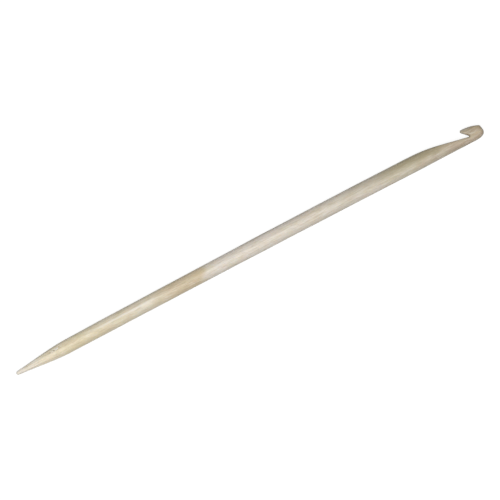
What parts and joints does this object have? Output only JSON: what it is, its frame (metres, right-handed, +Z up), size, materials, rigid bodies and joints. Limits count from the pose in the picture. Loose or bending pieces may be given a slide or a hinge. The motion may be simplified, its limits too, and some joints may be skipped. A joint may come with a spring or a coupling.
{
  "type": "crochet hook",
  "caption": "Slim solid bone crochet hook, with an undercut lip and a sloped throat at the end of its round shaft, and a tapered point at the tail.",
  "frame": {"origin": "under the middle of the hook's length, on the surface that it lies on", "axes": "+X from the tail point to the nose, +Y the way the lip opens, +Z up from the side that it lies on"},
  "size_m": [0.16, 0.005, 0.005],
  "materials": {
    "bone": "satin"
  },
  "bodies": {
    "root": {"shaft": "bone", "hook_head": "bone"}
  },
  "joints": []
}
